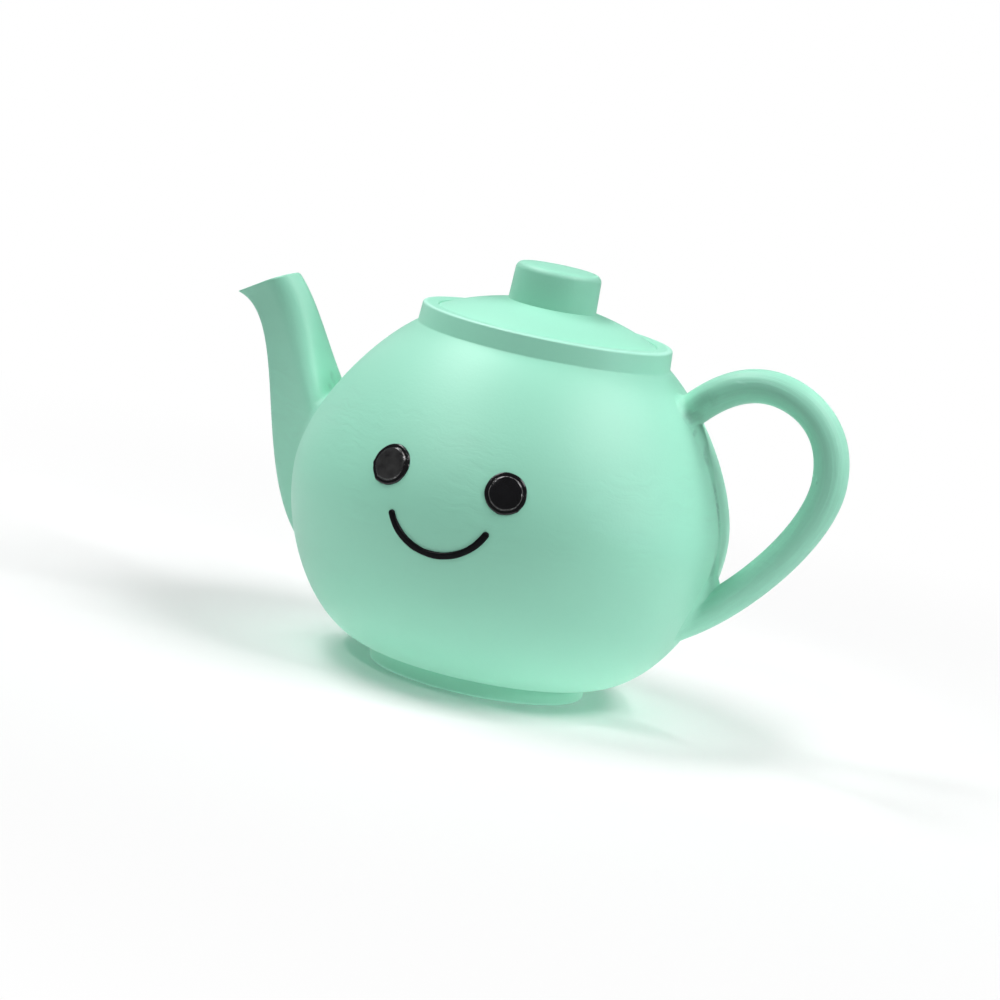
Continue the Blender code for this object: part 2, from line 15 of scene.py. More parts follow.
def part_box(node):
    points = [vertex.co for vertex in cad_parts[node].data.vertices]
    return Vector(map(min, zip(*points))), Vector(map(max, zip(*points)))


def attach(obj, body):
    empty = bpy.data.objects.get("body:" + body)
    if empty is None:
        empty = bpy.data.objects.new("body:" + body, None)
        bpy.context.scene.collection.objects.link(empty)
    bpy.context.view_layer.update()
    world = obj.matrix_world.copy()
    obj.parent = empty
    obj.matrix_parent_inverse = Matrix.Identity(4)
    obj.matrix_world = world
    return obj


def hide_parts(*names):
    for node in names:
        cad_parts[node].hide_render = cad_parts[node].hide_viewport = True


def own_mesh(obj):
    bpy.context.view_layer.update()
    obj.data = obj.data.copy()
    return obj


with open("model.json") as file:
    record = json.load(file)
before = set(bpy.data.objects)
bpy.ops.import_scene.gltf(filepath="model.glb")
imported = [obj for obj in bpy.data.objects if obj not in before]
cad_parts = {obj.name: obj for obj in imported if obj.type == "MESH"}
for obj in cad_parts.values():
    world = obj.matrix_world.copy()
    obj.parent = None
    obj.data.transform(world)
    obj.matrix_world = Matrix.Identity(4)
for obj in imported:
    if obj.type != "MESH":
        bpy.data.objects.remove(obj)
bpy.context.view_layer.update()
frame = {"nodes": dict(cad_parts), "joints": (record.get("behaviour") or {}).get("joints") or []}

bl_info = {
    "name": "Teapot dog toy",
    "version": (1, 0, 0),
    "blender": (4, 5, 0),
    "location": "View3D > Sidebar > Teapot",
    "description": "Builds a latex teapot dog toy with its face, handle, spout and squeaker",
    "category": "Object",
}

# The pot's axis, and the joint that squeezes the skin
AXIS = Vector((0.00015, 0.0, 0.0))
SQUEEZE = next(joint for joint in frame["joints"] if joint["name"] == "squeeze")
SQUEEZE_TRAVEL = SQUEEZE["range_m"][1]
LID_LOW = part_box("lid")[0]

# Curve handles of the pot's side
UNDERSIDE_PULL = 0.0138
BELLY_PULL_DOWN = 0.0157
BELLY_PULL_UP = 0.0125
NECK_PULL = 0.0120
NECK_SLOPE = math.radians(35.5)

# Spout lines in the X-Z plane, counted from the pot's axis: start, two handles and end
SPOUT_FRONT = ((-0.0380, 0.0130), (-0.06498, 0.01834), (-0.05792, 0.06867), (-0.0744, 0.0714))
SPOUT_REAR = ((-0.0380, 0.0463), (-0.04915, 0.05172), (-0.05211, 0.07038), (-0.0617, 0.0784))

# Handle bar in the X-Z plane: three stretches from the shoulder round to the lower belly
HANDLE_PATH = (
    ((0.0340, 0.0670), (0.03822, 0.07221), (0.0443, 0.0789), (0.0532, 0.0789)),
    ((0.0532, 0.0789), (0.0595, 0.0789), (0.07035, 0.0745), (0.07035, 0.0613)),
    ((0.07035, 0.0613), (0.07035, 0.0492), (0.05456, 0.02955), (0.0420, 0.0225)),
)

# Web between the handle's roots: height, raise off the pot and half width
WEB = (
    (0.0250, 0.0034, 0.0054),
    (0.0305, 0.0038, 0.0052),
    (0.0330, 0.0028, 0.0046),
    (0.0365, 0.0010, 0.0032),
    (0.0420, 0.0003, 0.0020),
    (0.0480, 0.0003, 0.0018),
    (0.0540, 0.0004, 0.0019),
    (0.0600, 0.0009, 0.0026),
    (0.0650, 0.0016, 0.0040),
    (0.0690, 0.0022, 0.0046),
)

# Colours painted on the eyes: a pale painted highlight on the ring round an eye's middle, and a grey painted
# reflection on the left eye's middle
PAINTED_RING_HIGHLIGHT = (0.42, 0.40, 0.40, 1.0)
PAINTED_REFLECTION_GREY = (0.045, 0.045, 0.045, 1.0)

# How far a bonded piece's open end lies under the pot's skin, and where its fillet starts
ROOT_DEPTH = 0.0012
FILLET_START = -0.0002

# Smudges in the latex with painted shade among them, and pale spots of rubbed flash: centre, reach along
# each axis and strength
SMUDGES_AND_PAINTED_SHADE = (
    ((-0.0474, 0.0000, 0.0574), (0.0018, 0.0018, 0.0026), 0.24),
    ((-0.0466, -0.0030, 0.0556), (0.0012, 0.0014, 0.0014), 0.18),
    # Painted shade: a darker patch at the handle's upper root, in this row and the next
    ((0.0384, -0.0036, 0.0690), (0.0040, 0.0026, 0.0022), 0.44),
    ((0.0400, -0.0042, 0.0728), (0.0042, 0.0034, 0.0044), 0.26),
    ((0.0391, -0.0029, 0.0657), (0.0006, 0.0014, 0.0017), 0.32),
    # Painted shade along the crease beside the web, with mould streaks in it, in this row and the next two
    ((0.0425, -0.0015, 0.0620), (0.0016, 0.0010, 0.0070), 0.36),
    ((0.0470, -0.0010, 0.0500), (0.0030, 0.0009, 0.0150), 0.50),
    ((0.0478, -0.0022, 0.0370), (0.0050, 0.0012, 0.0060), 0.28),
    ((0.0683, -0.0029, 0.0615), (0.0004, 0.0008, 0.0007), 0.30),
    ((-0.0042, -0.0452, 0.0543), (0.0005, 0.0008, 0.0005), 0.18),
)
RUBBED = (
    ((-0.0457, -0.0012, 0.0545), (0.0010, 0.0016, 0.0009), 0.35),
    ((0.0680, -0.0027, 0.0624), (0.0004, 0.0009, 0.0011), 0.55),
    ((0.0471, -0.0036, 0.0789), (0.0020, 0.0008, 0.0004), 0.45),
    ((0.0530, -0.0033, 0.0803), (0.0026, 0.0008, 0.0003), 0.30),
)


def length_setting(name, description, default):
    return bpy.props.FloatProperty(name=name, description=description, default=default, unit="LENGTH")


def angle_setting(name, description, degrees):
    default = math.radians(degrees)
    return bpy.props.FloatProperty(name=name, description=description, default=default, subtype="ANGLE")


def power_setting(name, description, default):
    return bpy.props.FloatProperty(name=name, description=description, default=default, unit="POWER")


def colour_setting(name, description, default, size=3):
    return bpy.props.FloatVectorProperty(
        name=name, description=description, default=default, size=size, subtype="COLOR"
    )


class PotSizes(bpy.types.PropertyGroup):
    """Sizes of the turned pieces."""

    belly_radius: length_setting("Belly radius", "Largest radius of the pot", 0.04919)
    belly_height: length_setting("Belly height", "Height of the largest radius", 0.0397)
    foot_radius: length_setting("Foot radius", "Outer radius of the foot ring", 0.0244)
    foot_height: length_setting("Foot height", "Height of the foot ring", 0.0037)
    foot_edge: length_setting("Foot edge", "Rounding of the foot's lower edge", 0.0007)
    floor_height: length_setting("Floor height", "Inner floor of the pot", 0.0038)
    neck_radius: length_setting("Neck radius", "Radius where the collar starts", 0.0280)
    neck_height: length_setting("Neck height", "Height where the collar starts", 0.0766)
    wall: length_setting("Wall", "Thickness of the latex", 0.0025)
    collar_radius: length_setting("Collar radius", "Outer radius of the collar", 0.0285)
    collar_taper: length_setting("Collar taper", "How much the collar narrows to its top", 0.0003)
    collar_height: length_setting("Collar height", "Height of the collar", 0.0042)
    collar_rim: length_setting("Collar rim", "Width of the collar's flat top", 0.0036)
    ledge_depth: length_setting("Ledge depth", "Depth of the lid's seat under the collar's top", 0.0030)
    ledge_width: length_setting("Ledge width", "Width of the lid's seat", 0.0026)
    lid_edge: length_setting("Lid edge", "Height of the lid's edge over its seat", 0.0023)
    lid_rise: length_setting("Lid rise", "Rise of the lid's dome", 0.0056)
    knob_radius: length_setting("Knob radius", "Radius of the knob at the lid", 0.0099)
    knob_taper: length_setting("Knob taper", "How much the knob narrows to its top", 0.0003)
    knob_crown: length_setting("Knob crown", "Rise of the knob's top", 0.0005)
    knob_edge: length_setting("Knob edge", "Rounding of the knob's upper edge", 0.0014)


class LimbSizes(bpy.types.PropertyGroup):
    """Sizes of the spout and of the handle."""

    spout_root_width: length_setting("Spout root width", "Half width of the spout at its root", 0.0160)
    spout_mouth_width: length_setting("Spout mouth width", "Half width of the spout at its mouth", 0.0076)
    spout_root_round: length_setting("Spout root rounding", "Radius of the spout's nose at its root", 0.0045)
    spout_beak_round: length_setting("Spout beak rounding", "Radius of the spout's nose at the beak", 0.0008)
    spout_ridge_round: length_setting("Spout ridge rounding", "Radius of the spout's side ridges", 0.0042)
    spout_back_bulge: length_setting("Spout back bulge", "How far the spout's back swells", 0.0008)
    spout_fillet: length_setting("Spout fillet", "Fillet between the spout and the pot", 0.0016)
    mouth_edge: length_setting("Mouth edge", "Rounding of the spout's mouth", 0.0004)
    handle_radius: length_setting("Handle radius", "Radius of the handle's bar", 0.00374)
    handle_fillet: length_setting("Handle fillet", "Fillet between the handle and the pot", 0.0018)


class FaceSizes(bpy.types.PropertyGroup):
    """Sizes and places of the painted face."""

    eye_radius: length_setting("Eye radius", "Radius of an eye", 0.0045)
    eye_height: length_setting("Eye height", "Height of the eyes over the ground", 0.0490)
    eye_azimuth: angle_setting("Eye azimuth", "Turn of each eye from the front", 16.2)
    eye_raise: length_setting("Eye raise", "Height of an eye's rim off the pot", 0.0009)
    mouth_radius: length_setting("Mouth radius", "Radius of the smile's arc", 0.0120)
    mouth_height: length_setting("Mouth height", "Height of the arc's centre", 0.0447)
    mouth_angle: angle_setting("Mouth angle", "Half of the smile's arc", 63.9)
    mouth_lean: angle_setting("Mouth lean", "Turn of the arc about its centre", 0.9)
    mouth_azimuth: angle_setting("Mouth azimuth", "Turn of the smile from the front", 0.8)
    mouth_width: length_setting("Mouth width", "Width of the smile's stroke", 0.0016)
    mouth_raise: length_setting("Mouth raise", "Height of the stroke off the pot", 0.0007)


class Finishes(bpy.types.PropertyGroup):
    """Colours and gloss."""

    latex: colour_setting("Latex", "Colour of the latex", (0.318, 0.730, 0.552))
    # Colour of the rubbed flash, and of the painted highlight on the collar's rim and the foot's lower edge
    rubbed_and_highlight: colour_setting(
        "Rubbed latex", "Colour of the latex where it is rubbed", (0.52, 0.90, 0.76, 1.0), 4
    )
    latex_roughness: bpy.props.FloatProperty(
        name="Latex roughness", description="How matte the latex is", default=0.50, subtype="FACTOR"
    )
    paint: colour_setting("Paint", "Colour of the painted face", (0.004, 0.004, 0.005))
    plastic: colour_setting("Plastic", "Colour of the squeaker", (0.80, 0.80, 0.77))
    film: colour_setting("Film", "Colour of the reed", (0.62, 0.60, 0.52))


class StageSettings(bpy.types.PropertyGroup):
    """Floor, lamps and camera."""

    floor: colour_setting("Floor", "Colour of the floor", (0.90, 0.90, 0.90))
    fill: bpy.props.FloatProperty(
        name="Fill", description="Strength of the light from all round", default=0.12
    )
    top_power: power_setting("Top lamps", "Power of the two lamps overhead, before each one's share", 6.45)
    back_power: power_setting("Back lamps", "Power of the two lamps behind, before each one's share", 0.85)
    front_power: power_setting("Front beam", "Power of the high beam on the front", 19.0)
    side_power: power_setting("Side beam", "Power of the beam on the handle's outside", 13.2)
    handle_power: power_setting("Handle beam", "Power of the beam on the handle's top", 18.0)
    glow_power: power_setting("Glow", "Power of the light that the ground throws up at the foot", 0.0090)
    lens: bpy.props.FloatProperty(name="Lens", description="Focal length in millimetres", default=145.48)
    distance: length_setting("Distance", "From the camera to the middle of the pot", 0.90)
    azimuth: angle_setting("Azimuth", "Turn of the camera from the front", 18.1)
    elevation: angle_setting("Elevation", "Angle of the camera above the ground", 8.5)
    roll: angle_setting("Roll", "Tilt of the camera about its view", 11.68)


class Socket:
    """A shader output that takes part in sums."""

    def __init__(self, surface, output):
        self.surface = surface
        self.output = output

    def _math(self, operation, first, second):
        return self.surface.node("ShaderNodeMath", {"operation": operation}, {0: first, 1: second})

    def __add__(self, other):
        return self._math("ADD", self, other)

    __radd__ = __add__

    def __sub__(self, other):
        return self._math("SUBTRACT", self, other)

    def __rsub__(self, other):
        return self._math("SUBTRACT", other, self)

    def __mul__(self, other):
        return self._math("MULTIPLY", self, other)

    __rmul__ = __mul__


class Surface:
    """The nodes of a material or of the world."""

    def __init__(self, owner):
        owner.use_nodes = True
        self.owner = owner
        self.tree = owner.node_tree
        self.shader = self.tree.nodes.get("Principled BSDF")

    def node(self, kind, settings=None, sockets=None, output=0):
        """Adds a node with its settings and the values or links of its sockets."""
        made = self.tree.nodes.new(kind)
        for key, value in (settings or {}).items():
            setattr(made, key, value)
        for key, value in (sockets or {}).items():
            self.feed(made.inputs[key], value)
        return Socket(self, made.outputs[output])

    def feed(self, target, value):
        if isinstance(value, Socket):
            self.tree.links.new(value.output, target)
        else:
            target.default_value = value

    def finish(self, **values):
        """Feeds the shader's sockets and returns the material."""
        for key, value in values.items():
            self.feed(self.shader.inputs[key.replace("_", " ")], value)
        return self.owner

    def show(self, value):
        """Feeds the output that renders."""
        output = next(node for node in self.tree.nodes if node.type.startswith("OUTPUT"))
        self.feed(output.inputs["Surface"], value)

    def place(self, scale=(1.0, 1.0, 1.0)):
        """The piece's own coordinates, stretched along each axis."""
        here = self.node("ShaderNodeTexCoord", output="Object")
        return self.node("ShaderNodeMapping", {}, {"Vector": here, "Scale": scale})

    def noise(self, vector, scale, detail=2.0, roughness=0.5):
        sockets = {"Vector": vector, "Scale": scale, "Detail": detail, "Roughness": roughness}
        return self.node("ShaderNodeTexNoise", {}, sockets)

    def ramp(self, value, low, high):
        """0 below low, 1 above high, and a smooth step between."""
        sockets = {"Value": value, "From Min": low, "From Max": high}
        return self.node("ShaderNodeMapRange", {"interpolation_type": "SMOOTHSTEP"}, sockets)

    def length(self, vector):
        return self.node("ShaderNodeVectorMath", {"operation": "LENGTH"}, {0: vector}, "Value")

    def attribute(self, name):
        """A number that the mesh holds at its vertices."""
        return self.node("ShaderNodeAttribute", {"attribute_name": name}, output="Fac")

    def mix(self, share, first, second):
        settings = {"data_type": "RGBA"}
        return self.node("ShaderNodeMix", settings, {0: share, 6: first, 7: second}, 2)

    def mark(self, centre, reach):
        """1 round a centre, fading to 0 at a reach along each axis."""
        here = self.node("ShaderNodeTexCoord", output="Object")
        shift = [-middle / size for middle, size in zip(centre, reach)]
        scale = [1 / size for size in reach]
        near = self.node("ShaderNodeMapping", {}, {"Vector": here, "Location": shift, "Scale": scale})
        return 1.0 - self.ramp(self.length(near), 0.3, 1.0)

    def marks(self, table):
        """The marks of a table of centres, reaches and strengths, added up."""
        return sum(strength * self.mark(centre, reach) for centre, reach, strength in table)

    def bump(self, height, distance):
        return self.node("ShaderNodeBump", {}, {"Height": height, "Distance": distance, "Strength": 1.0})


def shade(colour, factor):
    """A colour made darker or lighter, with its alpha."""
    return (*[min(1.0, channel * factor) for channel in colour], 1.0)


def latex_finish(scene):
    """Matte mint latex: a fine grain, wavy scuffs, a painted highlight on the rim and foot, smudges with
    painted shade among them, and rubbed flash.
    """
    known = bpy.data.materials.get("mint latex")
    if known:
        return known
    finishes = scene.teapot_finishes
    pot = scene.teapot_pot
    surface = Surface(bpy.data.materials.new("mint latex"))
    here = surface.place()
    grain = surface.noise(here, 1500.0, 3.0, 0.6)
    clouds = surface.noise(here, 38.0, 3.0)
    warp = surface.node("ShaderNodeCombineXYZ", {}, {2: surface.noise(here, 130.0, 2.0) * 5.0})
    flat = surface.place((120.0, 120.0, 900.0))
    wavy = surface.node("ShaderNodeVectorMath", {"operation": "ADD"}, {0: flat, 1: warp})
    ahead, sideways, level = [
        surface.node("ShaderNodeSeparateXYZ", {}, {0: here}, axis) for axis in range(3)
    ]
    worn = surface.ramp(surface.noise(here, 60.0, 2.0), 0.38, 0.60)
    worn = worn * surface.ramp(level, 0.030, 0.040) * (1.0 - surface.ramp(level, 0.056, 0.066))
    scuffs = (surface.noise(wavy, 1.0, 3.0, 0.55) - 0.5) * worn
    outwards = surface.attribute("outwards")
    drawn = {0: outwards * 1800.0, 1: sideways * 1800.0, 2: (ahead + level) * 90.0}
    streaks = surface.noise(surface.node("ShaderNodeCombineXYZ", {}, drawn), 1.0, 2.0)
    streaks = (surface.ramp(streaks, 0.40, 0.70) - 0.4) * surface.attribute("bar")
    tone = 0.5 + (clouds - 0.5) * 0.7 + scuffs * 1.5 + streaks * 0.55
    plain = surface.mix(tone, shade(finishes.latex, 0.96), shade(finishes.latex, 1.04))
    spoke = surface.length(surface.place((1.0, 1.0, 0.0)))
    top = pot.neck_height + pot.collar_height
    edge = pot.collar_radius - pot.collar_taper
    # Painted highlight: a paler band round the collar's flat top, where it would glint, and round the foot's
    # lower edge
    rim_highlight = surface.ramp(level, top - 0.0006, top - 0.0002)
    rim_highlight = rim_highlight * surface.ramp(spoke, edge - 0.0014, edge - 0.0008)
    rim_highlight = rim_highlight * (1.0 - surface.ramp(spoke, edge + 0.0004, edge + 0.0008))
    foot_highlight = surface.ramp(spoke, pot.foot_radius - 0.0012, pot.foot_radius)
    foot_highlight = (1.0 - surface.ramp(level, 0.0003, 0.0008)) * foot_highlight
    broken = surface.ramp(surface.noise(here, 520.0, 3.0, 0.6), 0.18, 0.62)
    # pale holds the painted highlights of the rim and foot, and the real rubbed flash
    pale = rim_highlight * 0.55 + foot_highlight * 0.45 + surface.marks(RUBBED) * broken
    # dark holds the smudges, and the painted shade at the handle's upper root and along the web's crease
    dark = surface.marks(SMUDGES_AND_PAINTED_SHADE) * broken
    lit = surface.mix(pale, plain, finishes.rubbed_and_highlight)
    colour = surface.mix(dark, lit, shade(finishes.latex, 0.35))
    roughness = finishes.latex_roughness + (grain - 0.5) * 0.16 + scuffs * 0.25
    height = grain * 0.5 + scuffs * 1.3 + streaks * 0.4 + pale * 0.4 - dark * 0.6
    return surface.finish(
        Base_Color=colour,
        Roughness=roughness,
        Normal=surface.bump(height, 0.00006),
        Sheen_Weight=0.10,
        Sheen_Roughness=0.5,
        IOR=1.52,
    )


def paint_finish(name, colour, gloss):
    """Thick black paint, a little uneven, with a painted highlight where the mesh marks the groove ring and
    a painted grey reflection where it marks the left eye's middle.
    """
    known = bpy.data.materials.get(name)
    if known:
        return known
    surface = Surface(bpy.data.materials.new(name))
    here = surface.place()
    smear = surface.noise(here, 420.0, 3.0)
    fine = surface.noise(here, 2600.0, 2.0)
    tone = surface.mix(smear, shade(colour, 0.8), shade(colour, 1.5))
    # Painted highlight along the groove ring
    ring = surface.attribute("ring") * surface.ramp(fine, 0.30, 0.60)
    # Painted reflection: a grey on the left eye's middle
    dust = surface.attribute("dust") * surface.ramp(smear, 0.10, 0.80)
    tone = surface.mix(ring, tone, PAINTED_RING_HIGHLIGHT)
    tone = surface.mix(dust, tone, PAINTED_REFLECTION_GREY)
    roughness = 0.36 - 0.40 * gloss + (smear - 0.5) * 0.16 + (fine - 0.5) * 0.06
    relief = surface.bump(smear + fine * 0.2, 0.00007)
    return surface.finish(
        Base_Color=tone,
        Roughness=roughness,
        Normal=relief,
        Specular_IOR_Level=gloss,
    )


def plastic_finish(name, colour, gloss):
    """Moulded plastic with a faint grain."""
    surface = Surface(bpy.data.materials.new(name))
    here = surface.place()
    grain = surface.noise(here, 1800.0, 2.0)
    clouds = surface.noise(here, 260.0, 2.0)
    tone = surface.mix(clouds, shade(colour, 0.95), shade(colour, 1.04))
    relief = surface.bump(grain, 0.00002)
    return surface.finish(Base_Color=tone, Roughness=gloss + (grain - 0.5) * 0.1, Normal=relief)


def bezier_at(curve, share):
    """The point (x, z) of a curve stretch at a share of it."""
    start, first, second, end = [Vector(point) for point in curve]
    rest = 1.0 - share
    return (
        start * rest**3
        + first * (3 * rest**2 * share)
        + second * (3 * rest * share**2)
        + end * share**3
    )


def from_angle(point, angle, length):
    """The point (x, z) at a length from another, along an angle."""
    return (point[0] + length * math.cos(angle), point[1] + length * math.sin(angle))


def bezier(curve, count):
    """Points along a whole curve stretch."""
    corners = [Vector(point).to_3d() for point in curve]
    return [point.to_2d() for point in interpolate_bezier(*corners, count)]


class PotSide:
    """The pot's outer skin: its outline, and distances from it."""

    ROWS = 34

    def __init__(self, pot):
        foot = (pot.foot_radius, pot.foot_height)
        belly = (pot.belly_radius, pot.belly_height)
        neck = (pot.neck_radius, pot.neck_height)
        below = (pot.belly_radius, pot.belly_height - BELLY_PULL_DOWN)
        above = (pot.belly_radius, pot.belly_height + BELLY_PULL_UP)
        lower = bezier((foot, from_angle(foot, 0.0, UNDERSIDE_PULL), below, belly), self.ROWS)
        upper = bezier((belly, above, from_angle(neck, -NECK_SLOPE, NECK_PULL), neck), self.ROWS)
        self.outline = lower + upper[1:]

    def at(self, height):
        """The radius at a height, and the outward normal (radial, upward)."""
        rows = self.outline
        index = 0
        while index < len(rows) - 2 and rows[index + 1].y < height:
            index += 1
        low, high = rows[index], rows[index + 1]
        share = min(1.0, max(0.0, (height - low.y) / (high.y - low.y)))
        before = rows[max(0, index - 1)]
        after = rows[min(len(rows) - 1, index + 2)]
        run = (high - before).lerp(after - low, share)
        return low.x + (high.x - low.x) * share, Vector((run.y, -run.x)).normalized()

    def height_at(self, radius):
        """The height over the belly at which the skin has a radius."""
        rows = self.outline
        low = next(index for index in range(len(rows) - 2, -1, -1) if rows[index].x > radius)
        below, above = rows[low], rows[low + 1]
        return below.y + (above.y - below.y) * (radius - below.x) / (above.x - below.x)

    def normal(self, point):
        """The outward direction of the skin beside a point."""
        spoke = Vector((point.x - AXIS.x, point.y, 0.0)).normalized()
        lean = self.at(point.z)[1]
        return spoke * lean.x + Vector((0.0, 0.0, lean.y))

    def distance(self, point):
        """How far a point lies off the skin, near it."""
        radius, lean = self.at(point.z)
        return (math.hypot(point.x - AXIS.x, point.y) - radius) * lean.x

    def lay(self, across, along, lift, azimuth, height):
        """A point laid on the skin from a centre: along the round, up the side and off the skin."""
        lean = self.at(height)[1].x
        level = height + along * lean
        radius, normal = self.at(level)
        angle = azimuth + across / radius
        radius += normal.x * lift
        return AXIS + Vector((radius * math.sin(angle), -radius * math.cos(angle), level + normal.y * lift))


def settle(point, side, wanted):
    """Moves a point square to the pot's skin until it lies the wanted distance off it."""
    for _ in range(4):
        point = point + side.normal(point) * (wanted - side.distance(point))
    return point


def turned(bm, outline, steps, centre=AXIS):
    """Spins an outline of (radius, height) pairs about an upright axis."""
    verts = [bm.verts.new((centre.x + radius, 0.0, height)) for radius, height in outline]
    edges = [bm.edges.new(pair) for pair in zip(verts, verts[1:])]
    bmesh.ops.spin(
        bm, geom=verts + edges, cent=centre, axis=(0, 0, 1), angle=2 * math.pi, steps=steps, use_merge=True
    )
    bmesh.ops.remove_doubles(bm, verts=bm.verts, dist=1e-6)
    bmesh.ops.delete(bm, geom=[edge for edge in bm.edges if edge.is_wire], context="EDGES")


def rounded(bm, edges, width, segments):
    """Rounds edges over a width."""
    bmesh.ops.bevel(
        bm,
        geom=edges,
        offset=width,
        offset_type="OFFSET",
        affect="EDGES",
        segments=segments,
        profile=0.5,
        material=-1,
    )


def round_ring(bm, radius, height, width, segments=4):
    """Rounds the ring of edges at a radius and a height."""

    def on_ring(vert):
        off = math.hypot(vert.co.x - AXIS.x, vert.co.y) - radius
        return abs(off) < 2e-6 and abs(vert.co.z - height) < 2e-6

    edges = [edge for edge in bm.edges if on_ring(edge.verts[0]) and on_ring(edge.verts[1])]
    if not edges:
        raise RuntimeError(f"no edges at radius {radius:.5f} and height {height:.5f}")
    rounded(bm, edges, width, segments)


def skin_over(bm, rings):
    """Extrudes a circle of edges from ring to ring, closes both ends and returns the last edges."""
    made = bmesh.ops.create_circle(bm, segments=len(rings[0]), radius=1.0)
    verts = made["verts"]
    edges = list(dict.fromkeys(edge for vert in verts for edge in vert.link_edges))
    first = edges
    for vert, point in zip(verts, rings[0]):
        vert.co = point
    for ring in rings[1:]:
        grown = bmesh.ops.extrude_edge_only(bm, edges=edges)["geom"]
        fresh = {item for item in grown if isinstance(item, bmesh.types.BMVert)}
        edges = [item for item in grown if isinstance(item, bmesh.types.BMEdge)]
        edges = [edge for edge in edges if edge.verts[0] in fresh and edge.verts[1] in fresh]
        verts = [
            next(edge.other_vert(vert) for edge in vert.link_edges if edge.other_vert(vert) in fresh)
            for vert in verts
        ]
        for vert, point in zip(verts, ring):
            vert.co = point
    for end in (first, edges):
        bmesh.ops.contextual_create(bm, geom=end)
    return edges


def placed(name, data):
    """An object in the scene for a mesh, a light or a camera."""
    obj = bpy.data.objects.new(name, data)
    bpy.context.scene.collection.objects.link(obj)
    return obj


def meshed(name, bm, material):
    """An object in the scene for a finished bmesh."""
    mesh = bpy.data.meshes.new(name)
    bm.to_mesh(mesh)
    bm.free()
    mesh.materials.append(material)
    return placed(name, mesh)


def piece(name, bm, material, body, node, squeezed=True, sharp=35.0):
    """Makes the finished piece, ties it to its body and hides the node that it stands for."""
    bmesh.ops.recalc_face_normals(bm, faces=bm.faces)
    obj = meshed(name, bm, material)
    obj.data.shade_smooth()
    obj.data.set_sharp_from_angle(angle=math.radians(sharp))
    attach(obj, body)
    if squeezed:
        keep = 1.0 - SQUEEZE_TRAVEL / LID_LOW.z
        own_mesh(obj)
    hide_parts(node)


class TEAPOT_OT_pot(bpy.types.Operator):
    """Turn the pot with its foot, collar and the seat of the lid"""

    bl_idname = "teapot.pot"
    bl_label = "Pot"

    STEPS = 176
    INNER_STRIDE = 3
    # Recess for the squeaker's flange: play round it, width of its shoulder and depth
    FLANGE_PLAY = 0.0003
    FLANGE_SHOULDER = 0.0022
    FLANGE_DEPTH = 0.0013
    # Rounding of the collar's outer, inner and lower edges
    RIM_ROUND = 0.0005
    BORE_ROUND = 0.0004
    COLLAR_ROUND = 0.0002

    def execute(self, context):
        pot = context.scene.teapot_pot
        side = PotSide(pot)
        belly, collar = pot.belly_height, pot.collar_radius
        outside = [point for point in side.outline if point.y < belly or point.x > collar]
        top = pot.neck_height + pot.collar_height
        rim = pot.collar_radius - pot.collar_taper
        bore = rim - pot.collar_rim
        collar_low = side.height_at(pot.collar_radius)
        ledge = top - pot.ledge_depth
        lip = ledge - pot.wall
        inside = [point - side.at(point.y)[1] * pot.wall for point in outside[::-1]]
        low = pot.floor_height + pot.wall
        inside = [point for point in inside if low < point.y < lip - pot.wall][:: self.INNER_STRIDE]
        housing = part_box("squeaker_housing")
        recess_radius = (housing[1].x - housing[0].x) / 2 + self.FLANGE_PLAY
        hole_radius = recess_radius - self.FLANGE_SHOULDER
        recess = housing[0].z + self.FLANGE_DEPTH
        outline = [
            *outside,
            (pot.collar_radius, collar_low),
            (rim, top),
            (bore, top),
            (bore, ledge),
            (bore - pot.ledge_width, ledge),
            (bore - pot.ledge_width, lip),
            *inside,
            (pot.foot_radius - pot.wall, pot.floor_height),
            (hole_radius, pot.floor_height),
            (hole_radius, recess),
            (recess_radius, recess),
            (recess_radius, 0.0),
            (pot.foot_radius, 0.0),
            outside[0],
        ]
        bm = bmesh.new()
        turned(bm, outline, self.STEPS)
        round_ring(bm, rim, top, self.RIM_ROUND)
        round_ring(bm, bore, top, self.BORE_ROUND, 3)
        round_ring(bm, pot.collar_radius, collar_low, self.COLLAR_ROUND, 3)
        round_ring(bm, pot.foot_radius, 0.0, pot.foot_edge)
        piece("pot_skin", bm, latex_finish(context.scene), "pot", "pot_shell")
        return {"FINISHED"}


